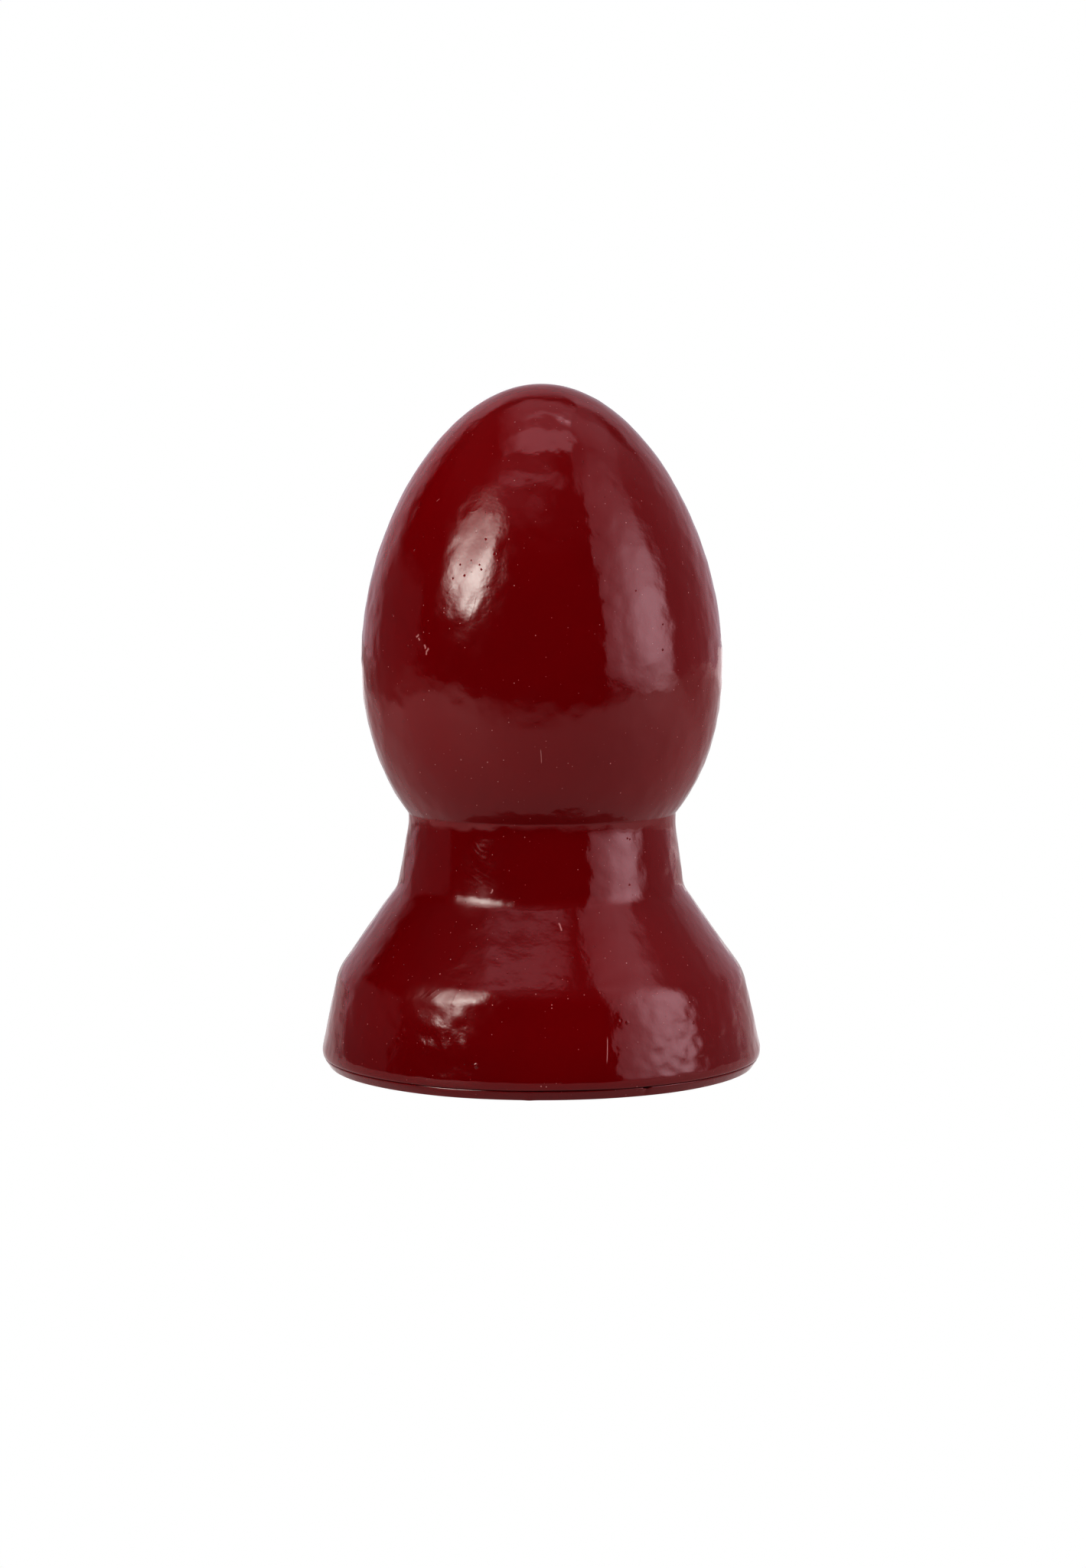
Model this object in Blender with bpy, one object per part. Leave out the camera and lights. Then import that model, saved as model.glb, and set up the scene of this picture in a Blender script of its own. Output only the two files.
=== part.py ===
"""Egg-headed plug with a flared base: one turned soft PVC casting on a thin closing disc.

Metres, +Z up. The origin is the centre of the flat underside, and the turned axis is Z.
"""

import math

import bpy

TOTAL_HEIGHT = 0.140

# The egg: an ellipse about the axis that narrows towards its top.
EGG_MIDDLE_HEIGHT = 0.0892
EGG_RADIUS = 0.03685
EGG_TAPER = 0.126

# Corners of the turned outline below the egg, before they are rounded.
CREASE_HEIGHT = 0.0522
UNDER_CREASE_HEIGHT = 0.0503
UNDER_CREASE_RADIUS = 0.02745
WAIST_HEIGHT = 0.0370
WAIST_RADIUS = 0.0296
SHOULDER_HEIGHT = 0.0194
SHOULDER_RADIUS = 0.04195
SKIRT_HEIGHT = 0.0031
SKIRT_RADIUS = 0.0455
FOOT_RADIUS = 0.0437

# How much each of those corners is rounded.
CREASE_ROUND = 0.0005
UNDER_CREASE_ROUND = 0.0110
WAIST_ROUND = 0.0065
SHOULDER_ROUND = 0.0120
SKIRT_ROUND = 0.0052

# The closing disc, and the gap that keeps the two solids apart.
DISC_THICKNESS = 0.0020
SEAM_GAP = 0.0003
EDGE_ROUND = 0.0004

TURNED_SIDES = 72
EGG_STEPS = 24
MERGE_DISTANCE = 0.00001

BODY_COLOUR = (0.188, 0.0008, 0.0035, 1.0)
DISC_COLOUR = (0.175, 0.0008, 0.0035, 1.0)
BODY_ROUGHNESS = 0.12
DISC_ROUGHNESS = 0.16


def remove_objects():
    """Empty the scene without closing the file."""
    for thing in list(bpy.data.objects):
        bpy.data.objects.remove(thing, do_unlink=True)


def glossy_material(name, colour, roughness):
    """A Principled material of one colour, for a non-metal."""
    material = bpy.data.materials.new(name)
    material.use_nodes = True
    shader = material.node_tree.nodes["Principled BSDF"]
    shader.inputs["Base Color"].default_value = colour
    shader.inputs["Roughness"].default_value = roughness
    shader.inputs["Metallic"].default_value = 0.0
    return material


def rounded_corner(before, corner, after, radius, steps):
    """Points (r, z) of the arc of this radius that touches both sides of a corner."""
    into = math.atan2(corner[1] - before[1], corner[0] - before[0])
    out = math.atan2(after[1] - corner[1], after[0] - corner[0])
    turn = math.remainder(out - into, 2.0 * math.pi)
    side = math.copysign(radius, turn)
    reach = radius * math.tan(abs(turn) / 2.0)
    start_r = corner[0] - reach * math.cos(into)
    start_z = corner[1] - reach * math.sin(into)
    points = []
    for step in range(steps + 1):
        heading = into + turn * step / steps
        r = start_r + side * (math.sin(heading) - math.sin(into))
        z = start_z - side * (math.cos(heading) - math.cos(into))
        points.append((r, z))
    return points


def egg_point(angle):
    """The egg's outline (r, z) at an angle from its top."""
    radius = EGG_RADIUS * math.sin(angle) * (1.0 - EGG_TAPER * math.cos(angle))
    height = EGG_MIDDLE_HEIGHT + (TOTAL_HEIGHT - EGG_MIDDLE_HEIGHT) * math.cos(angle)
    return radius, height


def whole_outline():
    """The outer outline from the egg's top down to the foot, as points (r, z)."""
    crease_angle = math.acos((CREASE_HEIGHT - EGG_MIDDLE_HEIGHT) / (TOTAL_HEIGHT - EGG_MIDDLE_HEIGHT))
    egg = [egg_point(crease_angle * step / EGG_STEPS) for step in range(EGG_STEPS)]
    above_crease = egg_point(crease_angle - CREASE_ROUND / EGG_RADIUS)
    crease = egg_point(crease_angle)
    under_crease = (UNDER_CREASE_RADIUS, UNDER_CREASE_HEIGHT)
    waist = (WAIST_RADIUS, WAIST_HEIGHT)
    shoulder = (SHOULDER_RADIUS, SHOULDER_HEIGHT)
    skirt = (SKIRT_RADIUS, SKIRT_HEIGHT)
    foot = (FOOT_RADIUS, 0.0)
    outline = list(egg)
    outline += rounded_corner(above_crease, crease, under_crease, CREASE_ROUND, 3)
    outline += rounded_corner(crease, under_crease, waist, UNDER_CREASE_ROUND, 3)
    outline += rounded_corner(under_crease, waist, shoulder, WAIST_ROUND, 6)
    outline += rounded_corner(waist, shoulder, skirt, SHOULDER_ROUND, 6)
    outline += rounded_corner(shoulder, skirt, foot, SKIRT_ROUND, 6)
    outline.append(foot)
    return outline


def radius_at(outline, height):
    """The outline's radius at a height below the crease."""
    for upper, lower in zip(outline, outline[1:]):
        if upper[1] >= height >= lower[1]:
            share = (upper[1] - height) / (upper[1] - lower[1])
            return upper[0] + share * (lower[0] - upper[0])
    raise ValueError("no outline at this height")


def turned_solid(name, outline, material):
    """Turn an outline, which runs down its outer side from axis to axis, into one closed solid."""
    vertices = [(r, 0.0, z) for r, z in outline]
    edges = [(index, index + 1) for index in range(len(outline) - 1)]
    mesh = bpy.data.meshes.new(name)
    mesh.from_pydata(vertices, edges, [])
    mesh.materials.append(material)
    solid = bpy.data.objects.new(name, mesh)
    bpy.context.scene.collection.objects.link(solid)
    screw = solid.modifiers.new("turning", "SCREW")
    screw.axis = "Z"
    screw.steps = TURNED_SIDES
    screw.render_steps = TURNED_SIDES
    screw.use_merge_vertices = True
    screw.merge_threshold = MERGE_DISTANCE
    screw.use_smooth_shade = True
    return solid


def make_moulded_body(outline):
    """The egg, waist and flared base, cut off flat just above the closing disc."""
    underside = DISC_THICKNESS + SEAM_GAP
    lip_height = underside + EDGE_ROUND
    points = [point for point in outline if point[1] > lip_height]
    points.append((radius_at(outline, lip_height), lip_height))
    points.append((radius_at(outline, underside) - EDGE_ROUND, underside))
    points.append((0.0, underside))
    material = glossy_material("deep_red_soft_pvc", BODY_COLOUR, BODY_ROUGHNESS)
    return turned_solid("moulded_body", points, material)


def make_base_disc(outline):
    """The thin disc that closes the casting and stands on the table."""
    lip_height = DISC_THICKNESS - EDGE_ROUND
    points = [(0.0, DISC_THICKNESS)]
    points.append((radius_at(outline, DISC_THICKNESS) - EDGE_ROUND, DISC_THICKNESS))
    points.append((radius_at(outline, lip_height), lip_height))
    points.append((radius_at(outline, EDGE_ROUND), EDGE_ROUND))
    points.append((FOOT_RADIUS - EDGE_ROUND, 0.0))
    points.append((0.0, 0.0))
    material = glossy_material("deep_red_closing_layer", DISC_COLOUR, DISC_ROUGHNESS)
    return turned_solid("base_disc", points, material)


def main():
    remove_objects()
    outline = whole_outline()
    make_moulded_body(outline)
    make_base_disc(outline)


main()
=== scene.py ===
"""Looks for the egg-headed flared plug: glossy deep red soft PVC on a plain pale floor."""

import math

import bpy
import numpy as np
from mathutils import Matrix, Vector, noise


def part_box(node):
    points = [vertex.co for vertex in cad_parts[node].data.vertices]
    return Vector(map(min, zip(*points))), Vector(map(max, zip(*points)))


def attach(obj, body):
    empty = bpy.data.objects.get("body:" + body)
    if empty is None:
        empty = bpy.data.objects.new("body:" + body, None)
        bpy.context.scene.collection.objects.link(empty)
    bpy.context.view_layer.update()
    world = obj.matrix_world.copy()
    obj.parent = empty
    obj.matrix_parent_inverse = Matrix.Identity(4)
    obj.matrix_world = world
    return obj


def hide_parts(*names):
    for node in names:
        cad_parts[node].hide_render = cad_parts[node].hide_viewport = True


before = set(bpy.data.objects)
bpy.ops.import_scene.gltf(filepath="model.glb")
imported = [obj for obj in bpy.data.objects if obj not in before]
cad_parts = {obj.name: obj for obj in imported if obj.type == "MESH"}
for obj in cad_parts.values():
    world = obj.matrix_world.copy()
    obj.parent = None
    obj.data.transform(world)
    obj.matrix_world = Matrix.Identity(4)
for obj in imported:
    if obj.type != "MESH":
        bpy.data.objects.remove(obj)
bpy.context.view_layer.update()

BODY_LOW, BODY_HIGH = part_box("moulded_body")
_, DISC_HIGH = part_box("base_disc")

# Lengths below are in millimetres of the 140 mm high design, and MM turns them into metres.
DESIGN_HEIGHT = 140.0
MM = BODY_HIGH.z / DESIGN_HEIGHT
DISC_TOP = DISC_HIGH.z / MM
BODY_UNDERSIDE = BODY_LOW.z / MM

# The turned outline: an egg that narrows towards its top, then the corners below it and their rounding.
EGG_MIDDLE_HEIGHT = 89.2
EGG_RADIUS = 36.85
EGG_TAPER = 0.126
CREASE_HEIGHT = 52.2
CREASE_ROUND = 0.5
UNDER_CREASE = (27.45, 50.3)
UNDER_CREASE_ROUND = 11.0
WAIST = (29.6, 37.0)
WAIST_ROUND = 6.5
SHOULDER = (41.95, 19.4)
SHOULDER_ROUND = 12.0
SKIRT = (45.6, 2.8)
SKIRT_ROUND = 2.8
FOOT = (43.7, 0.0)
RIM_ROUND = 0.15
LIP_ROUND = 0.26
FOOT_ROUND = 0.4

# How finely the outline and the skins are divided.
EGG_STEPS = 400
CREASE_STEPS = 16
CORNER_STEPS = 32
LIP_STEPS = 9
FOOT_STEPS = 5
BODY_SIDES = 400
BODY_RINGS = 225
BEND_FOCUS = 6.0
DISC_SIDES = 1200

# Layers of soft grain on the skins: depth, grain width, stretch, lean, and where in the noise they start.
SLOW_WAVES = (0.10, 24.0, 1.0, 0.0, 3.1)
PEEL = (0.085, 4.4, 1.0, 0.0, 11.7)
FINE_PEEL = (0.060, 2.2, 1.0, 0.0, 25.3)
EGG_FOLDS = (0.110, 3.8, 2.3, -0.016, 63.7)
FINE_EGG_FOLDS = (0.050, 1.9, 2.2, -0.016, 41.9)
SHOULDER_DENTS = (0.20, 3.2, 0.8, 0.01, 17.4)
FINE_SHOULDER_DENTS = (0.12, 1.7, 0.9, 0.0, 8.8)
FLARE_STREAKS = (0.03, 3.4, 0.35, 0.0, 29.6)
SKIRT_RIPPLES = (0.15, 2.4, 0.55, 0.006, 33.0)
FINE_SKIRT_RIPPLES = (0.11, 1.5, 0.6, 0.01, 14.2)
DISC_WAVES = (0.05, 9.0, 1.0, 0.0, 6.4)
FINE_DISC_WAVES = (0.02, 2.5, 1.0, 0.0, 1.3)

# Soft-edged patches of skin: azimuth from the front in degrees, its spread, height, its spread.
EGG_PATCH = (-23.0, 10.0, 101.0, 14.0)
SHOULDER_SWELLING = (-30.0, 9.0, 10.8, 3.0)
SHOULDER_PATCH = (-31.0, 15.0, 13.5, 5.0)
FLARE_PATCH = (0.0, 28.0, 26.0, 5.0)
SKIRT_PATCH = (44.0, 17.0, 8.0, 5.5)
SAGGING_PATCH = (-14.0, 20.0, 38.0, 7.0)
SWELLING_HEIGHT = 0.24
SAG = 0.5

# The share of the common grain that is missing in the egg's patch and in the flare's.
EGG_CALM = 0.6
FLARE_CALM = 0.5

# Shifts to the right: how far, the height of their middle, and its spread.
EGG_SHIFT = (0.25, 66.0, 14.0)
FLARE_SHIFT = (-0.28, 29.0, 7.0)

# The casting's rim: a smooth strip, the height over which the grain then sets in, and the rim's droop
# towards the disc, which is less at the front.
RIM_SMOOTH = 0.1
RIM_FADE = 2.0
RIM_DROOP = 0.26
DROOP_REACH = 1.5
FRONT_LIFT = (3.5, 8.0, 0.10)

# The disc's edge stands out by this much. Its marks: azimuth in degrees, its spread, depth.
DISC_PROUD = 0.17
DISC_BULGES = ((36.0, 6.0, 0.10), (-24.0, 9.0, 0.20))
DISC_NICK = (27.4, 0.55, 0.5)
DISC_BEVEL = (-22.0, 9.0, 0.26)
DISC_FLASH = (-3.1, 0.9, 0.35)
DISC_EDGE_STARTS = 40.0
# The bevel starts this far below the lip and is at its full depth after the second distance.
BEVEL_REACH = 0.9
BEVEL_FADE = 0.7
# How far the lip sinks in the nick, as a share of the nick's depth.
NICK_SINK = 0.6
# Depths below the lip of the edge's middle rings, and the flat faces' margin inside the edge.
EDGE_RINGS = (0.45, 0.65, 0.9, 1.2)
DISC_MARGIN = 1.5
RIM_MARGIN = 1.0

# The full red of each piece, how much of it there is everywhere, and the pale pink of dust and lint.
BODY_RED = (0.270, 0.0010, 0.0045, 1.0)
DISC_RED = (0.250, 0.0010, 0.0045, 1.0)
BLACK = (0.0, 0.0, 0.0, 1.0)
RED_SHARE = 0.622
DUST_PINK = (0.50, 0.24, 0.23, 1.0)
DUST_COVER = 0.9
PVC_IOR = 1.5
PVC_ROUGHNESS = 0.06
DUST_ROUGHNESS = 0.4

# The lamps' places and the sheet's front edge, in metres, and the tints of lamps and panels.
KEY_PLACE = (-0.928, -0.738, 0.767)
KEY_TARGET = (-0.016, -0.031, 0.105)
KEY_TINT = (0.95, 1.1, 1.04)
FILL_AZIMUTH = math.radians(66.0)
FILL_DISTANCE = 0.5
FILL_TINT = (1.0, 0.98, 1.06)
PANEL_TINT = (1.0, 0.98, 1.06, 1.0)
WHITE = (1.0, 1.0, 1.0, 1.0)
SHEET_GREY = (0.12, 0.12, 0.12, 1.0)
SHEET_FRONT = -0.325

# Camera: in front of the object, level with the egg's upper half, and tilted down.
CAMERA_DISTANCE = 656.5
CAMERA_HEIGHT = 115.2
CAMERA_SIDE = 0.35
CAMERA_PITCH = math.radians(4.985)
CAMERA_LENS = 73.26
SENSOR_SIZE = 36.0
DISPLAY_GAMMA = 0.645


# ---------------------------------------------------------------- outline

def rounded_corner(before, corner, after, radius, steps):
    """Points (r, z) of the arc of this radius that touches both sides of a corner."""
    into = math.atan2(corner[1] - before[1], corner[0] - before[0])
    out = math.atan2(after[1] - corner[1], after[0] - corner[0])
    turn = math.remainder(out - into, 2.0 * math.pi)
    side = math.copysign(radius, turn)
    reach = radius * math.tan(abs(turn) / 2.0)
    start_r = corner[0] - reach * math.cos(into)
    start_z = corner[1] - reach * math.sin(into)
    points = []
    for step in range(steps + 1):
        heading = into + turn * step / steps
        r = start_r + side * (math.sin(heading) - math.sin(into))
        z = start_z - side * (math.cos(heading) - math.cos(into))
        points.append((r, z))
    return points


def egg_point(angle):
    """The egg's outline (r, z) at an angle from its top."""
    radius = EGG_RADIUS * math.sin(angle) * (1.0 - EGG_TAPER * math.cos(angle))
    height = EGG_MIDDLE_HEIGHT + (DESIGN_HEIGHT - EGG_MIDDLE_HEIGHT) * math.cos(angle)
    return radius, height


def whole_outline():
    """The outer outline from the egg's top down to the foot, in fine steps."""
    crease_angle = math.acos((CREASE_HEIGHT - EGG_MIDDLE_HEIGHT) / (DESIGN_HEIGHT - EGG_MIDDLE_HEIGHT))
    egg_end = crease_angle - CREASE_ROUND / EGG_RADIUS
    egg = [egg_point(egg_end * step / EGG_STEPS) for step in range(EGG_STEPS)]
    crease = egg_point(crease_angle)
    outline = list(egg)
    outline += rounded_corner(egg_point(egg_end), crease, UNDER_CREASE, CREASE_ROUND, CREASE_STEPS)
    outline += rounded_corner(crease, UNDER_CREASE, WAIST, UNDER_CREASE_ROUND, CREASE_STEPS)
    outline += rounded_corner(UNDER_CREASE, WAIST, SHOULDER, WAIST_ROUND, CORNER_STEPS)
    outline += rounded_corner(WAIST, SHOULDER, SKIRT, SHOULDER_ROUND, CORNER_STEPS)
    outline += rounded_corner(SHOULDER, SKIRT, FOOT, SKIRT_ROUND, CORNER_STEPS)
    outline.append(FOOT)
    return outline


def radius_at(outline, height):
    """The outline's radius at a height below the crease."""
    for upper, lower in zip(outline, outline[1:]):
        if upper[1] >= height >= lower[1] and upper[1] < CREASE_HEIGHT:
            share = (upper[1] - height) / (upper[1] - lower[1])
            return upper[0] + share * (lower[0] - upper[0])
    raise ValueError("no outline at this height")


def resampled(outline, count, focus):
    """The outline at count points, closer together where it bends, more so with a larger focus."""
    points = np.array(outline)
    step = np.diff(points, axis=0)
    length = np.hypot(step[:, 0], step[:, 1])
    heading = np.unwrap(np.arctan2(step[:, 1], step[:, 0]))
    turning = np.abs(np.diff(heading, prepend=heading[0]))
    weight = np.concatenate([[0.0], np.cumsum(length + focus * turning)])
    wanted = np.linspace(0.0, weight[-1], count)
    r = np.interp(wanted, weight, points[:, 0])
    z = np.interp(wanted, weight, points[:, 1])
    return np.column_stack([r, z])


# ---------------------------------------------------------------- surface relief

def hill(value, middle, spread):
    """A bell curve of height 1."""
    return math.exp(-0.5 * ((value - middle) / spread) ** 2)


def grain(azimuth, r, z, layer):
    """Soft noise on the turned skin, in grains that lean over as they rise when the layer has a lean."""
    depth, size, stretch, lean, start = layer
    turned = azimuth + lean * z
    across = r * math.sin(turned) / size
    along = r * math.cos(turned) / size
    return depth * noise.noise(Vector((across + start, along - start, z / (size * stretch))))


def patch(azimuth, z, place):
    """1 at the middle of a patch of skin, falling to 0 round it."""
    degrees, spread, height, height_spread = place
    return hill(math.degrees(azimuth), degrees, spread) * hill(z, height, height_spread)


def mark(azimuth, place):
    """The depth of a mark on a rim at this azimuth."""
    degrees, spread, depth = place
    return depth * hill(math.degrees(azimuth), degrees, spread)


def shift(z, place):
    """How far the skin is shifted to the right at this height."""
    amount, height, spread = place
    return amount * hill(z, height, spread)


def skin_relief(azimuth, r, z):
    """How far the casting's skin stands out, in millimetres. The azimuth runs rightwards from the front."""
    egg_patch = patch(azimuth, z, EGG_PATCH)
    calmed = 1.0 - EGG_CALM * egg_patch
    waves = grain(azimuth, r, z, SLOW_WAVES)
    waves += calmed * grain(azimuth, r, z, PEEL)
    waves += calmed * grain(azimuth, r, z, FINE_PEEL)

    # The egg's lower part stands a little to the right, and the flare a little to the left.
    waves += math.sin(azimuth) * (shift(z, EGG_SHIFT) + shift(z, FLARE_SHIFT))

    # The left front of the egg was crumpled while it set, in folds that lean to the right.
    waves += egg_patch * grain(azimuth, r, z, EGG_FOLDS)
    waves += egg_patch * grain(azimuth, r, z, FINE_EGG_FOLDS)

    # The left shoulder of the base, likewise, with a low swelling under it.
    waves += SWELLING_HEIGHT * patch(azimuth, z, SHOULDER_SWELLING)
    shoulder_patch = patch(azimuth, z, SHOULDER_PATCH)
    waves += shoulder_patch * grain(azimuth, r, z, SHOULDER_DENTS)
    waves += shoulder_patch * grain(azimuth, r, z, FINE_SHOULDER_DENTS)

    # The front of the flare is smoother, with flat streaks.
    flare_patch = patch(azimuth, z, FLARE_PATCH)
    waves *= 1.0 - FLARE_CALM * flare_patch
    waves += flare_patch * grain(azimuth, r, z, FLARE_STREAKS)

    # The lower right of the skirt carries fine, nearly level ripples.
    skirt_patch = patch(azimuth, z, SKIRT_PATCH)
    waves += skirt_patch * grain(azimuth, r, z, SKIRT_RIPPLES)
    waves += skirt_patch * grain(azimuth, r, z, FINE_SKIRT_RIPPLES)
    return waves


def skin_sag(azimuth, z):
    """How far the bend under the waist hangs lower at the left front than elsewhere, in millimetres."""
    return SAG * patch(azimuth, z, SAGGING_PATCH)


# ---------------------------------------------------------------- meshes

def turned_faces(ring_count, sides):
    """Triangles round both ends of the axis, and four-sided faces between the rings."""
    last = 1 + ring_count * sides
    final_ring = last - sides
    faces = []
    for side in range(sides):
        after = (side + 1) % sides
        faces.append((0, 1 + side, 1 + after))
        faces.append((last, final_ring + after, final_ring + side))
    for ring in range(ring_count - 1):
        upper = 1 + ring * sides
        lower = upper + sides
        for side in range(sides):
            after = (side + 1) % sides
            faces.append((upper + side, lower + side, lower + after, upper + after))
    return faces


def turned_mesh(name, rings, sides, relief):
    """A closed mesh turned from rings (r, z) that run from the top of the axis to its bottom.

    relief(azimuth, r, z) gives each vertex's own (r, z), so that a rim can be nicked or wavy.
    """
    azimuths = [2.0 * math.pi * side / sides - math.pi for side in range(sides)]
    vertices = [(0.0, 0.0, rings[0][1] * MM)]
    for r, z in rings[1:-1]:
        for azimuth in azimuths:
            own_r, own_z = relief(azimuth, r, z)
            x = own_r * math.sin(azimuth)
            y = -own_r * math.cos(azimuth)
            vertices.append((x * MM, y * MM, own_z * MM))
    vertices.append((0.0, 0.0, rings[-1][1] * MM))
    mesh = bpy.data.meshes.new(name)
    mesh.from_pydata(vertices, [], turned_faces(len(rings) - 2, sides))
    mesh.shade_smooth()
    return mesh


def body_rings(outline):
    """The casting's outline down to its rounded rim and across its flat underside."""
    rim_r = radius_at(outline, BODY_UNDERSIDE)
    higher = BODY_UNDERSIDE + RIM_MARGIN
    above_rim = (radius_at(outline, higher), higher)
    rim = rounded_corner(above_rim, (rim_r, BODY_UNDERSIDE), (0.0, BODY_UNDERSIDE), RIM_ROUND, FOOT_STEPS)
    outer = [point for point in outline if point[1] > rim[0][1]]
    fine = resampled(outer, BODY_RINGS, BEND_FOCUS)
    rings = [tuple(point) for point in fine] + rim
    for r in (rim_r - RIM_MARGIN, rim_r * 0.5, 0.0):
        rings.append((r, BODY_UNDERSIDE))
    return rings


def make_body(outline):
    """The egg, waist and flare, with the slow waves of a poured skin and a rim that droops to the seam."""
    rings = body_rings(outline)

    def relief(azimuth, r, z):
        above_rim = z - BODY_UNDERSIDE
        fade = min(max((above_rim - RIM_SMOOTH) / RIM_FADE, 0.0), 1.0)
        near_rim = max(1.0 - above_rim / DROOP_REACH, 0.0)
        droop = RIM_DROOP - mark(azimuth, FRONT_LIFT)
        return r + fade * skin_relief(azimuth, r, z), z - droop * near_rim - skin_sag(azimuth, z)

    mesh = turned_mesh("moulded_body_skin", rings, BODY_SIDES, relief)
    return bpy.data.objects.new("moulded_body_skin", mesh)


def disc_rings(outline):
    """The closing disc's outline, with a rounded lip and a small rounding at its foot."""
    top_r = radius_at(outline, DISC_TOP)
    middle = (radius_at(outline, DISC_TOP / 2.0), DISC_TOP / 2.0)
    lip = rounded_corner((0.0, DISC_TOP), (top_r, DISC_TOP), middle, LIP_ROUND, LIP_STEPS)
    foot = rounded_corner(middle, FOOT, (0.0, 0.0), FOOT_ROUND, FOOT_STEPS)
    rings = [(r, DISC_TOP) for r in (0.0, top_r * 0.5, top_r - DISC_MARGIN)]
    rings += lip
    for below in EDGE_RINGS:
        rings.append((radius_at(outline, DISC_TOP - below), DISC_TOP - below))
    rings += foot
    rings += [(r, 0.0) for r in (FOOT[0] - DISC_MARGIN, FOOT[0] * 0.5, 0.0)]
    return rings


def make_disc(outline):
    """The closing disc under the seam, with a wavy lip, one nick in it and a little flash at its foot."""
    rings = disc_rings(outline)

    def relief(azimuth, r, z):
        if r < DISC_EDGE_STARTS:
            return r, z
        height = z / DISC_TOP
        near_lip = min(max((z - DISC_TOP + BEVEL_REACH) / BEVEL_FADE, 0.0), 1.0)
        wave = grain(azimuth, r, z, DISC_WAVES) + grain(azimuth, r, z, FINE_DISC_WAVES)
        proud = DISC_PROUD + sum(mark(azimuth, bulge) for bulge in DISC_BULGES)
        nick = mark(azimuth, DISC_NICK) * height
        bevel = mark(azimuth, DISC_BEVEL) * near_lip
        flash = mark(azimuth, DISC_FLASH) * (1.0 - height)
        return r + wave + proud + flash - nick - bevel, z - NICK_SINK * nick * height

    mesh = turned_mesh("base_disc_skin", rings, DISC_SIDES, relief)
    return bpy.data.objects.new("base_disc_skin", mesh)


# ---------------------------------------------------------------- nodes

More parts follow.
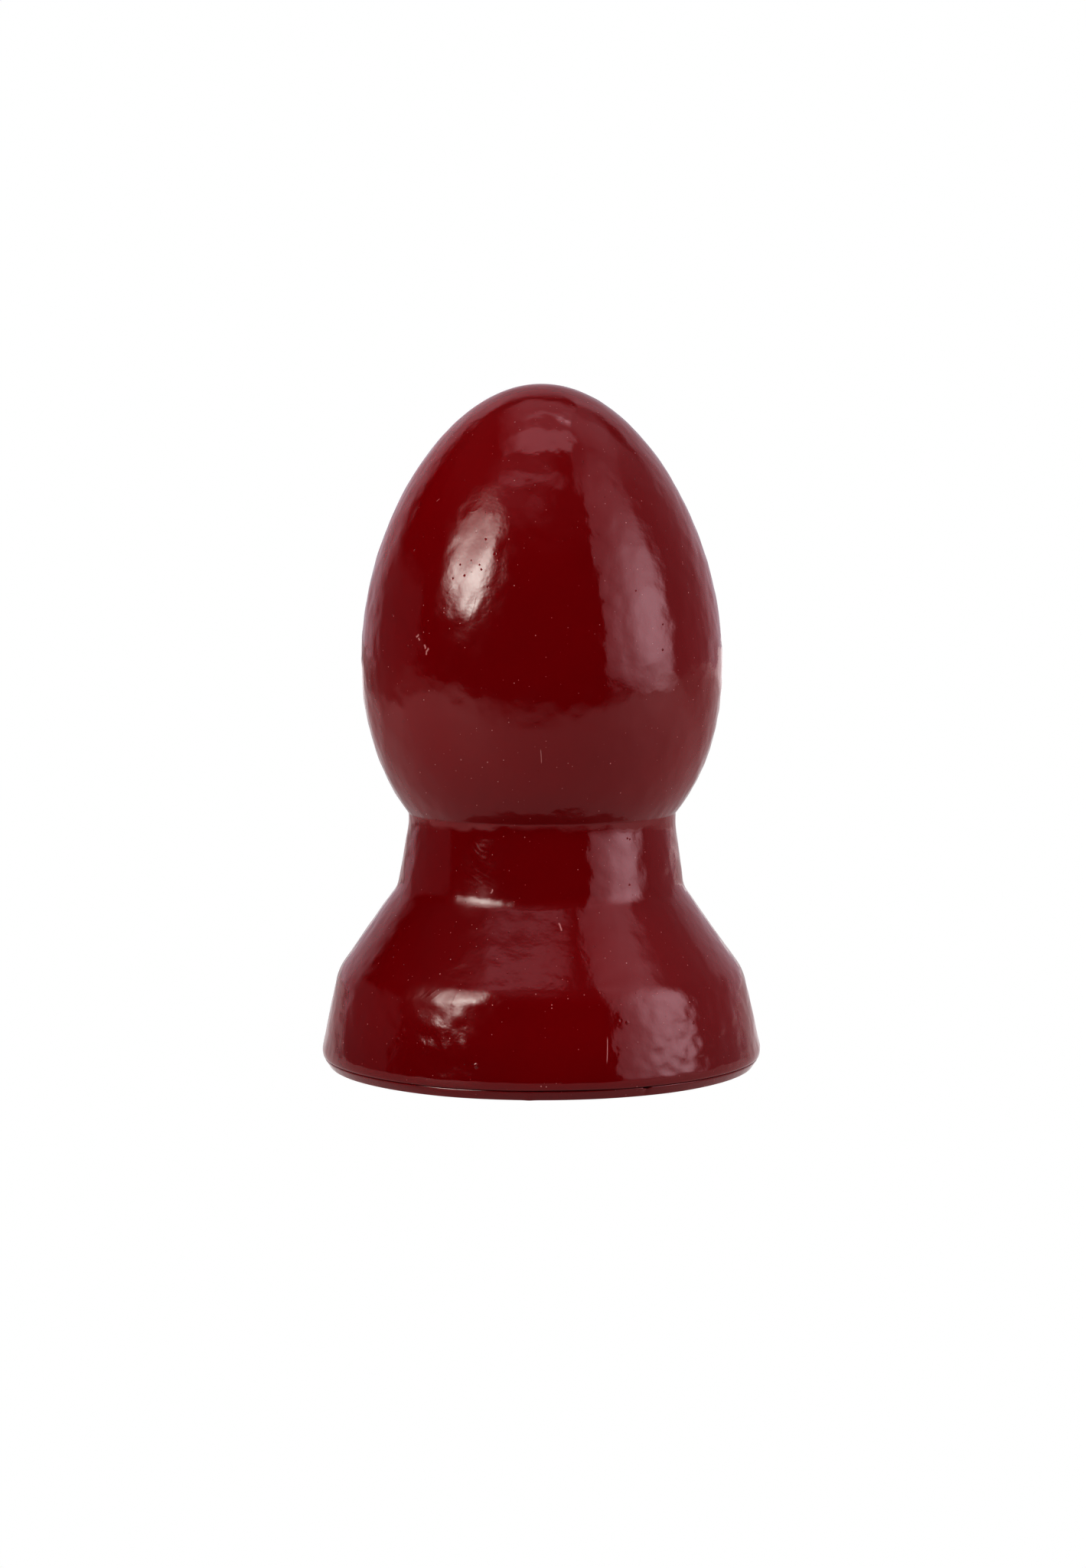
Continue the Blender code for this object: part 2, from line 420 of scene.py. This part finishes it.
class Maths:
    """Short names for the maths nodes of one node tree. The functions below call it m."""

    def __init__(self, tree):
        self.tree = tree

    def node(self, operation, *values):
        """The output of a maths node fed with numbers or sockets."""
        maths = self.tree.nodes.new("ShaderNodeMath")
        maths.operation = operation
        for socket, value in zip(maths.inputs, values):
            if isinstance(value, (int, float)):
                socket.default_value = value
            else:
                self.tree.links.new(value, socket)
        return maths.outputs[0]

    def step(self, value, low, high):
        """0 below low, 1 above high, smooth between. With low above high it falls instead."""
        ramp = self.tree.nodes.new("ShaderNodeMapRange")
        ramp.interpolation_type = "SMOOTHSTEP"
        ramp.inputs["From Min"].default_value = min(low, high)
        ramp.inputs["From Max"].default_value = max(low, high)
        ramp.inputs["To Min"].default_value = 0.0 if low < high else 1.0
        ramp.inputs["To Max"].default_value = 1.0 if low < high else 0.0
        self.tree.links.new(value, ramp.inputs["Value"])
        return ramp.outputs["Result"]

    def band(self, value, low, full, still_full, high):
        """0 below low and above high, 1 from full to still_full, smooth between."""
        return self.node("MULTIPLY", self.step(value, low, full), self.step(value, high, still_full))

    def window(self, value, low, high, soft):
        """1 between low and high, with edges this soft."""
        return self.band(value, low - soft, low + soft, high - soft, high + soft)

    def shortfall(self, value, limit):
        """How far a value falls short of a limit, or 0."""
        return self.node("MAXIMUM", self.node("SUBTRACT", limit, value), 0.0)

    def total(self, *values):
        """All of the values added together."""
        whole = values[0]
        for value in values[1:]:
            whole = self.node("ADD", whole, value)
        return whole

    def product(self, *values):
        """All of the values multiplied together."""
        whole = values[0]
        for value in values[1:]:
            whole = self.node("MULTIPLY", whole, value)
        return whole

    def length(self, x, y):
        """How long the flat vector x, y is."""
        return self.node("SQRT", self.node("ADD", self.product(x, x), self.product(y, y)))

    def hill(self, value, middle, spread):
        """A bell curve of height 1."""
        away = self.node("DIVIDE", self.node("SUBTRACT", value, middle), spread)
        square = self.node("MULTIPLY", away, away)
        return self.node("EXPONENT", self.node("MULTIPLY", square, -0.5))

    def mix(self, share, first, second):
        """The first colour, giving way to the second as share rises to 1."""
        blend = self.tree.nodes.new("ShaderNodeMix")
        blend.data_type = "RGBA"
        self.tree.links.new(share, blend.inputs[0])
        # A mix node's sockets for colours are its inputs 6 and 7 and its output 2.
        for socket, colour in zip(blend.inputs[6:8], (first, second)):
            if isinstance(colour, tuple):
                socket.default_value = colour
            else:
                self.tree.links.new(colour, socket)
        return blend.outputs[2]

    def noise(self, place, size, detail):
        """Soft noise between 0 and 1, of grains this size."""
        texture = self.tree.nodes.new("ShaderNodeTexNoise")
        texture.inputs["Scale"].default_value = 1.0 / size
        texture.inputs["Detail"].default_value = detail
        self.tree.links.new(place, texture.inputs["Vector"])
        return texture.outputs["Fac"]

    def specks(self, place, spacing, radius):
        """Round specks of many sizes up to this radius, 1 at their middles."""
        texture = self.tree.nodes.new("ShaderNodeTexVoronoi")
        texture.inputs["Scale"].default_value = 1.0 / spacing
        self.tree.links.new(place, texture.inputs["Vector"])
        split = self.tree.nodes.new("ShaderNodeSeparateColor")
        self.tree.links.new(texture.outputs["Color"], split.inputs[0])
        size = self.product(split.outputs[0], split.outputs[0], radius / spacing)
        round_speck = self.step(self.node("DIVIDE", texture.outputs["Distance"], size), 1.0, 0.4)
        return self.product(round_speck, split.outputs[1])

    def coordinates(self, kind):
        """The x, y and z of the shaded place in this kind of coordinates."""
        split = self.tree.nodes.new("ShaderNodeSeparateXYZ")
        self.tree.links.new(self.tree.nodes.new("ShaderNodeTexCoord").outputs[kind], split.inputs[0])
        return split.outputs

    def plain_to_camera(self, lit, plain):
        """The plain shader for the camera itself, and the lit one for every reflection and bounce."""
        choose = self.tree.nodes.new("ShaderNodeMixShader")
        path = self.tree.nodes.new("ShaderNodeLightPath")
        self.tree.links.new(path.outputs["Is Camera Ray"], choose.inputs[0])
        self.tree.links.new(lit, choose.inputs[1])
        self.tree.links.new(plain, choose.inputs[2])
        return choose.outputs[0]


# ---------------------------------------------------------------- material

# Fine marks on the skin: azimuth from the front in degrees, height, length, width, lean from upright, bend.
FIBRES = (
    (17.0, 9.6, 5.6, 0.06, 5.0, 0.01),
    (6.7, 32.5, 1.8, 0.11, -16.0, 0.10),
    (-41.6, 89.6, 1.1, 0.13, 55.0, 0.30),
    (-40.9, 89.0, 0.8, 0.12, -40.0, 0.00),
    (-38.2, 87.6, 1.1, 0.14, -25.0, 0.40),
    (-37.2, 86.9, 1.2, 0.14, 40.0, 0.30),
    (-37.6, 86.3, 0.8, 0.12, 0.0, 0.00),
    (0.0, 66.4, 3.2, 0.045, -3.0, 0.02),
    (-19.5, 38.9, 1.1, 0.10, 25.0, 0.50),
    (-45.0, 116.3, 1.0, 0.06, 52.0, 0.08),
)
SCRATCHES = (
    (-21.8, 95.2, 6.2, 0.12, 12.0, 0.01),
    (-30.4, 98.9, 2.2, 0.13, 36.0, 0.00),
    (-26.9, 114.0, 3.0, 0.12, 86.0, 0.22),
    (-31.3, 19.6, 4.6, 0.12, 48.0, 0.01),
    (-30.2, 18.9, 3.8, 0.12, 50.0, 0.00),
    (-33.4, 19.4, 3.4, 0.12, 45.0, 0.01),
    (-24.0, 19.0, 2.6, 0.12, 20.0, 0.05),
    (-22.0, 41.6, 7.0, 0.20, -62.0, 0.01),
    (-17.5, 39.6, 6.5, 0.20, -64.0, 0.01),
    (-27.0, 41.2, 5.5, 0.20, -60.0, 0.01),
)
# Pimples and pits: azimuth, height, radius, how far they stand out.
LUMPS = (
    (-16.3, 6.6, 0.50, 0.25),
    (21.2, 15.1, 0.26, -0.10),
    (23.0, 14.6, 0.32, 0.14),
    (44.0, 13.2, 0.26, 0.12),
    (38.4, 48.9, 0.20, -0.08),
    (39.6, 48.7, 0.18, -0.08),
    (37.2, 39.7, 0.20, -0.09),
    (31.5, 98.6, 0.18, -0.08),
    (40.2, 86.9, 0.22, -0.10),
    (41.1, 91.9, 0.18, -0.08),
    (-25.8, 101.6, 0.20, -0.10),
    (-19.6, 108.7, 0.20, -0.10),
    (-15.7, 105.8, 0.22, -0.10),
    (-27.9, 103.7, 0.18, -0.06),
    (-30.0, 101.0, 0.18, -0.06),
    (-19.9, 102.8, 0.18, -0.06),
    (-20.7, 103.7, 0.15, -0.05),
    (-24.0, 104.6, 0.15, -0.05),
    (-17.2, 99.4, 0.16, -0.05),
)
# Where handling has dulled the gloss: azimuth, height, half width, half height, extra roughness.
WORN = (
    (-29.0, 17.5, 6.0, 3.0, 0.19),
    (-25.0, 37.0, 6.0, 2.5, 0.14),
    (-23.0, 101.0, 6.0, 11.0, 0.06),
)
# Specks: how far apart, and the largest radius.
DUST = (1.05, 0.20)
PITS = (2.1, 0.24)
# Rings left by a wipe: azimuth and height of their middle, their distance apart, then radius and its spread.
SWIRLS = (-20.0, 51.0, 0.95, 5.6, 1.6)
# Patches on the skin: azimuth, height, half width, half height.
SWIRLED_AREA = (-29.0, 47.5, 2.4, 2.4)
CRUMPLED_AREA = (-31.0, 12.5, 6.0, 3.5)
# How far the marks stand out of the skin, in millimetres.
PIT_DEPTH = -0.07
SCRATCH_HEIGHT = 0.008
SWIRL_HEIGHT = 0.0032
CRUMPLE_HEIGHT = 0.04
ORANGE_PEEL_HEIGHT = 0.022
DUST_HEIGHT = 0.010


class Skin:
    """Places on the turned skin, for the fine marks of a material. Lengths are in millimetres."""

    def __init__(self, m):
        self.m = m
        tree = m.tree
        scale = tree.nodes.new("ShaderNodeVectorMath")
        scale.operation = "SCALE"
        scale.inputs["Scale"].default_value = 1.0 / MM
        tree.links.new(tree.nodes.new("ShaderNodeTexCoord").outputs["Object"], scale.inputs[0])
        split = tree.nodes.new("ShaderNodeSeparateXYZ")
        tree.links.new(scale.outputs[0], split.inputs[0])
        x, y, z = split.outputs
        self.place = scale.outputs[0]
        self.side = x
        self.height = z
        self.radius = m.length(x, y)
        self.azimuth = m.node("ARCTAN2", x, m.product(y, -1.0))

    def offsets(self, degrees, height):
        """How far to the right of a spot and above it the shaded place is."""
        m = self.m
        across = m.product(m.node("SUBTRACT", self.azimuth, math.radians(degrees)), self.radius)
        return across, m.node("SUBTRACT", self.height, height)

    def stroke(self, degrees, height, length, width, lean, bend):
        """A thin stroke: 1 along its middle, 0 beside it and beyond its ends."""
        m = self.m
        across, up = self.offsets(degrees, height)
        cosine = math.cos(math.radians(lean))
        sine = math.sin(math.radians(lean))
        along = m.node("ADD", m.product(up, cosine), m.product(across, sine))
        aside = m.node("SUBTRACT", m.product(across, cosine), m.product(up, sine))
        bent = m.node("ADD", aside, m.product(along, along, bend))
        ends = m.step(m.node("ABSOLUTE", along), length * 0.5, length * 0.3)
        return m.product(m.hill(bent, 0.0, width), ends)

    def lump(self, degrees, height, radius, stand_out):
        """A round pimple, or a pit when stand_out is negative."""
        m = self.m
        across, up = self.offsets(degrees, height)
        square = m.node("ADD", m.product(across, across), m.product(up, up))
        return m.product(m.node("EXPONENT", m.product(square, -0.5 / (radius * 0.5) ** 2)), stand_out)

    def area(self, degrees, height, half_width, half_height):
        """A soft patch round a spot."""
        m = self.m
        across, up = self.offsets(degrees, height)
        return m.product(m.hill(across, 0.0, half_width), m.hill(up, 0.0, half_height))

    def swirls(self):
        """Fine rings left of the waist's front, where a wipe stopped."""
        m = self.m
        degrees, height, spacing, radius, spread = SWIRLS
        distance = m.length(*self.offsets(degrees, height))
        rings = m.node("SINE", m.product(distance, 2.0 * math.pi / spacing))
        return m.product(rings, m.hill(distance, radius, spread), self.area(*SWIRLED_AREA))


def skin_fibres(m, skin, marked):
    """Dust and lint: 1 on a speck or a fibre."""
    fibres = m.specks(skin.place, *DUST)
    if marked:
        for fibre in FIBRES:
            fibres = m.node("MAXIMUM", fibres, skin.stroke(*fibre))
    return fibres


def skin_marks(m, skin, marked):
    """Pits, scratches, pimples, the wipe's rings and the crumpled shoulder, as heights in millimetres."""
    marks = m.product(m.specks(skin.place, *PITS), PIT_DEPTH)
    if not marked:
        return marks
    for scratch in SCRATCHES:
        marks = m.node("ADD", marks, m.product(skin.stroke(*scratch), SCRATCH_HEIGHT))
    for lump in LUMPS:
        marks = m.node("ADD", marks, skin.lump(*lump))
    swirls = m.product(skin.swirls(), SWIRL_HEIGHT)
    crumple = m.product(m.noise(skin.place, 0.9, 2.0), skin.area(*CRUMPLED_AREA), CRUMPLE_HEIGHT)
    return m.total(marks, swirls, crumple)


def skin_colour_and_painted_light(m, skin, fibres, red):
    """Deep red that drifts, with dust. Painted light makes it fuller on the left, on the egg's left and
    towards the egg's tip, and painted shade makes it darker at the foot.
    """
    drift = m.product(m.noise(skin.place, 14.0, 2.0), 0.10)
    # Painted light: the left half, the egg's left and the egg's tip are made redder, as if more light fell on
    # them.
    painted_left_light = m.product(m.step(skin.side, 30.0, 2.0), 0.04)
    egg = m.product(m.step(skin.height, 45.0, 70.0), m.step(skin.side, 18.0, -10.0), 0.06)
    painted_tip_light = m.product(m.step(skin.height, 92.0, 124.0), m.step(skin.side, 12.0, -16.0), 0.14)
    # Painted shade: darker towards the foot.
    foot = m.product(m.step(skin.height, 15.0, 3.0), -0.08)
    clean = m.mix(m.total(drift, painted_left_light, egg, painted_tip_light, foot, RED_SHARE), BLACK, red)
    return m.mix(m.product(fibres, DUST_COVER), clean, DUST_PINK)


def skin_roughness(m, skin, fibres, marked):
    """Gloss that drifts, with wiped smears, duller dust and worn places."""
    drift = m.product(m.noise(skin.place, 9.0, 2.0), 0.06)
    smears = m.product(m.step(m.noise(skin.place, 5.0, 3.0), 0.50, 0.72), 0.05)
    roughness = m.total(drift, smears, PVC_ROUGHNESS)
    if marked:
        for *place, extra in WORN:
            roughness = m.node("ADD", roughness, m.product(skin.area(*place), extra))
    return m.node("ADD", roughness, m.product(fibres, DUST_ROUGHNESS))


def pvc_material(name, red, marked):
    """Deep red glossy soft PVC. A marked one carries the front's scratches, lumps, lint and worn places."""
    material = bpy.data.materials.new(name)
    material.use_nodes = True
    tree = material.node_tree
    m = Maths(tree)
    skin = Skin(m)
    shader = tree.nodes["Principled BSDF"]
    shader.inputs["IOR"].default_value = PVC_IOR
    fibres = skin_fibres(m, skin, marked)
    tree.links.new(skin_colour_and_painted_light(m, skin, fibres, red), shader.inputs["Base Color"])
    tree.links.new(skin_roughness(m, skin, fibres, marked), shader.inputs["Roughness"])

    orange_peel = m.product(m.noise(skin.place, 1.1, 1.0), ORANGE_PEEL_HEIGHT)
    relief = m.total(orange_peel, m.product(fibres, DUST_HEIGHT), skin_marks(m, skin, marked))
    bump = tree.nodes.new("ShaderNodeBump")
    bump.inputs["Strength"].default_value = 1.0
    bump.inputs["Distance"].default_value = MM
    tree.links.new(relief, bump.inputs["Height"])
    tree.links.new(bump.outputs["Normal"], shader.inputs["Normal"])
    return material


# ---------------------------------------------------------------- studio

def studio_lamp(name, corners, tint, brightness):
    """A flat lamp whose brightness(m, place) follows the place on it. The camera doesn't see it."""
    mesh = bpy.data.meshes.new(name)
    mesh.from_pydata(corners, [], [tuple(range(len(corners)))])
    lamp = bpy.data.objects.new(name, mesh)
    material = bpy.data.materials.new(name)
    material.use_nodes = True
    tree = material.node_tree
    tree.nodes.clear()
    m = Maths(tree)
    emission = tree.nodes.new("ShaderNodeEmission")
    emission.inputs["Color"].default_value = (*tint, 1.0)
    tree.links.new(brightness(m, m.coordinates("Object")), emission.inputs["Strength"])
    clear = tree.nodes.new("ShaderNodeBsdfTransparent")
    both = tree.nodes.new("ShaderNodeAddShader")
    tree.links.new(emission.outputs[0], both.inputs[0])
    tree.links.new(clear.outputs[0], both.inputs[1])
    output = tree.nodes.new("ShaderNodeOutputMaterial")
    tree.links.new(both.outputs[0], output.inputs["Surface"])
    mesh.materials.append(material)
    lamp.visible_camera = False
    return lamp


def make_key_lamp():
    """A tall oval softbox high on the left of the camera, hottest below its middle, with a dim halo."""
    sides = 48
    half_width = 0.45
    half_height = 0.505
    halo = 1.3
    corners = []
    for side in range(sides):
        angle = 2.0 * math.pi * side / sides
        corners.append((halo * half_width * math.cos(angle), halo * half_height * math.sin(angle), 0.0))

    # Across and up are shares of the half width and half height. Each last number is a brightness.
    def brightness(m, place):
        x, y, _ = place
        across = m.node("DIVIDE", x, half_width)
        up = m.node("DIVIDE", y, half_height)
        distance = m.length(across, up)
        glow = m.product(m.step(distance, 1.28, 0.85), m.step(up, -0.9, -0.2), 0.8)
        cloth = m.product(m.step(distance, 1.08, 0.62), 3.8)
        bulb_spot = m.product(m.hill(across, 0.1, 0.55), m.hill(up, -0.34, 0.31), 14.0)
        bulb = m.product(m.step(distance, 1.0, 0.5), bulb_spot)
        edge_spot = m.product(m.hill(across, 0.52, 0.20), m.hill(up, 0.23, 0.33), 6.5)
        edge = m.product(m.step(distance, 1.05, 0.85), edge_spot)
        return m.total(glow, cloth, bulb, edge)

    lamp = studio_lamp("key_lamp", corners, KEY_TINT, brightness)
    aim = Vector(KEY_TARGET) - Vector(KEY_PLACE)
    lamp.location = KEY_PLACE
    lamp.rotation_euler = aim.to_track_quat("-Z", "Y").to_euler()
    return lamp


def make_fill_lamp():
    """A tall softbox standing on the right, brightest low down in its middle, dimmer at its top and foot."""
    left = -0.263
    right = 0.34
    bottom = 0.004
    top = 1.25
    lean = 0.06
    corners = [(left, 0.0, bottom), (right, 0.0, bottom), (right, 0.0, top), (left + lean, 0.0, top)]

    def brightness(m, place):
        x, _, z = place
        glow = m.product(m.hill(x, 0.060, 0.13), m.hill(z, 0.192, 0.17), 4.4)
        shape = m.product(m.step(x, 0.28, 0.14), m.band(z, -0.06, 0.10, 0.50, 1.20))
        return m.product(shape, m.node("ADD", glow, 1.35))

    lamp = studio_lamp("fill_lamp", corners, FILL_TINT, brightness)
    aside = FILL_DISTANCE * math.sin(FILL_AZIMUTH)
    ahead = FILL_DISTANCE * math.cos(FILL_AZIMUTH)
    lamp.location = (aside, -ahead, 0.0)
    lamp.rotation_euler = (0.0, 0.0, FILL_AZIMUTH)
    return lamp


def overhead_light(m, across, toward):
    """The lights overhead, by how far a direction leans to the right and towards the camera as it rises by 1.

    A softbox with a bright bar across it, a strip in front of it, their spill, and paper to the right. The
    last number of a product is that part's brightness.
    """
    width = m.band(across, -0.50, -0.18, 0.325, 0.365)
    front = m.product(m.window(toward, 0.0, 0.256, 0.03), 1.35)
    bar = m.product(m.hill(toward, -0.195, 0.025), m.step(across, -0.30, -0.10))
    glint = m.product(m.hill(toward, -0.175, 0.035), m.hill(across, 0.255, 0.040), 3.0)
    rear = m.product(m.band(toward, -0.66, -0.46, 0.216, 0.296), 0.95)
    softbox = m.product(width, m.total(front, bar, glint, rear))

    # The strip's far side is cut off slantwise at its left end.
    cut = m.product(m.shortfall(across, -0.25), 0.45)
    strip_depth = m.product(m.step(toward, 0.635, 0.530), m.step(m.node("ADD", toward, cut), 0.42, 0.50))
    strip = m.product(m.band(across, -0.57, -0.46, 0.18, 0.33), strip_depth, 1.22)
    line = m.product(m.hill(toward, 0.755, 0.016), m.window(across, -0.20, -0.03, 0.05), 0.7)

    # The spill sets in later towards its left end, and a dark line runs through it.
    lag = m.product(m.shortfall(across, -0.45), 0.42)
    spill_depth = m.window(m.node("SUBTRACT", toward, lag), 0.24, 1.42, 0.2)
    spill = m.product(m.band(across, -1.05, -0.52, 0.0, 0.25), spill_depth, 0.5)
    dark_line = m.product(m.hill(toward, 0.68, 0.030), m.window(across, -0.23, 0.23, 0.05), 0.8)
    lined_spill = m.product(spill, m.node("SUBTRACT", 1.0, dark_line))

    slant = m.node("SUBTRACT", toward, m.product(across, 1.27))
    paper = m.product(m.step(across, 0.325, 0.365), m.step(slant, -0.02, -0.12), 0.52)
    return m.total(softbox, strip, line, lined_spill, paper)


def room_light(m):
    """The brightness of pale panels to the right, left, back and overhead. The camera's side is dark.

    Azimuth and elevation are in degrees. Azimuth 0 is the camera's side, and the right is positive.
    """
    across, along, up = m.coordinates("Generated")
    toward = m.product(along, -1.0)
    azimuth = m.node("DEGREES", m.node("ARCTAN2", across, toward))
    elevation = m.node("DEGREES", m.node("ARCSINE", up))
    turned = m.node("ABSOLUTE", azimuth)
    right = m.product(m.window(azimuth, 93.0, 132.0, 7.0), m.window(elevation, -12.0, 70.0, 4.0), 0.60)
    facing = m.node("DIVIDE", along, m.node("SQRT", m.node("SUBTRACT", 1.001, m.product(up, up))))
    above_backdrop = m.node("SUBTRACT", up, m.product(along, facing, 1.33))
    backdrop = m.product(m.step(turned, 125.0, 139.0), m.step(above_backdrop, 0.12, -0.12))
    behind = m.product(backdrop, m.node("SUBTRACT", 0.92, m.product(m.step(turned, 155.0, 175.0), 0.2)))
    left = m.product(m.window(azimuth, -134.0, -84.0, 3.0), m.window(elevation, -12.0, 18.0, 4.0), 0.31)
    rise = m.node("MAXIMUM", up, 0.05)
    above = overhead_light(m, m.node("DIVIDE", across, rise), m.node("DIVIDE", toward, rise))
    high_up = m.product(above, m.step(elevation, 40.0, 52.0))
    ceiling = m.product(m.step(elevation, 30.0, 50.0), 0.12)
    return m.total(right, behind, left, ceiling, high_up)


def make_world():
    """The room round the object. Where nothing stands, the camera itself sees plain white."""
    world = bpy.data.worlds.new("studio")
    bpy.context.scene.world = world
    world.use_nodes = True
    tree = world.node_tree
    tree.nodes.clear()
    m = Maths(tree)
    lit = tree.nodes.new("ShaderNodeBackground")
    lit.inputs["Color"].default_value = PANEL_TINT
    tree.links.new(room_light(m), lit.inputs["Strength"])
    plain = tree.nodes.new("ShaderNodeBackground")
    plain.inputs["Color"].default_value = WHITE
    output = tree.nodes.new("ShaderNodeOutputWorld")
    tree.links.new(m.plain_to_camera(lit.outputs[0], plain.outputs[0]), output.inputs["Surface"])


def sheet_glow(m):
    """The sheet's painted glow from below: less near the object, as painted shade, and less behind it, on the
    left and at its front edge.
    """
    x, y, _ = m.coordinates("Object")
    away = m.node("ADD", m.product(m.step(m.length(x, y), 0.06, 0.40), 0.30), 0.82)
    behind = m.node("SUBTRACT", 1.0, m.product(m.band(y, 0.03, 0.18, 0.6, 1.3), 0.42))
    front_edge = m.step(y, SHEET_FRONT, -0.16)
    left_side = m.node("SUBTRACT", 1.0, m.product(m.step(x, -0.30, -0.55), 0.65))
    return m.product(away, behind, front_edge, left_side)


def make_floor():
    """A white sheet under the object whose glow is painted light, the lit floor as reflections and bounces
    see it. Like the world, it is plain white to the camera itself.
    """
    half_width = 1.6
    back = 3.0
    mesh = bpy.data.meshes.new("floor")
    corners = [
        (-half_width, SHEET_FRONT, 0.0),
        (half_width, SHEET_FRONT, 0.0),
        (half_width, back, 0.0),
        (-half_width, back, 0.0),
    ]
    mesh.from_pydata(corners, [], [(0, 1, 2, 3)])
    floor = bpy.data.objects.new("floor", mesh)
    material = bpy.data.materials.new("white_sheet")
    material.use_nodes = True
    tree = material.node_tree
    shader = tree.nodes["Principled BSDF"]
    shader.inputs["Base Color"].default_value = SHEET_GREY
    shader.inputs["Roughness"].default_value = 0.55
    shader.inputs["Emission Color"].default_value = WHITE
    m = Maths(tree)
    tree.links.new(sheet_glow(m), shader.inputs["Emission Strength"])
    white = tree.nodes.new("ShaderNodeEmission")
    surface = m.plain_to_camera(shader.outputs[0], white.outputs[0])
    tree.links.new(surface, tree.nodes["Material Output"].inputs["Surface"])
    mesh.materials.append(material)
    return floor


def make_camera():
    """The camera in front of the object, looking slightly down at it."""
    data = bpy.data.cameras.new("camera")
    data.sensor_fit = "VERTICAL"
    data.sensor_height = SENSOR_SIZE
    data.lens = CAMERA_LENS
    camera = bpy.data.objects.new("camera", data)
    camera.location = (CAMERA_SIDE * MM, -CAMERA_DISTANCE * MM, CAMERA_HEIGHT * MM)
    camera.rotation_euler = (math.radians(90.0) - CAMERA_PITCH, 0.0, 0.0)
    return camera


def show(thing):
    """The thing itself, now in the scene."""
    bpy.context.scene.collection.objects.link(thing)
    return thing


def main():
    """Both pieces, the stage round them and the camera."""
    outline = whole_outline()
    body = show(make_body(outline))
    body.data.materials.append(pvc_material("soft_pvc_body", BODY_RED, True))
    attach(body, "root")
    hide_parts("moulded_body")
    disc = show(make_disc(outline))
    disc.data.materials.append(pvc_material("soft_pvc_disc", DISC_RED, False))
    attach(disc, "root")
    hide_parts("base_disc")
    for stage_piece in (make_floor(), make_key_lamp(), make_fill_lamp()):
        show(stage_piece)
    make_world()
    camera = show(make_camera())
    scene = bpy.context.scene
    scene.camera = camera
    scene.view_settings.view_transform = "Standard"
    scene.view_settings.gamma = DISPLAY_GAMMA


main()
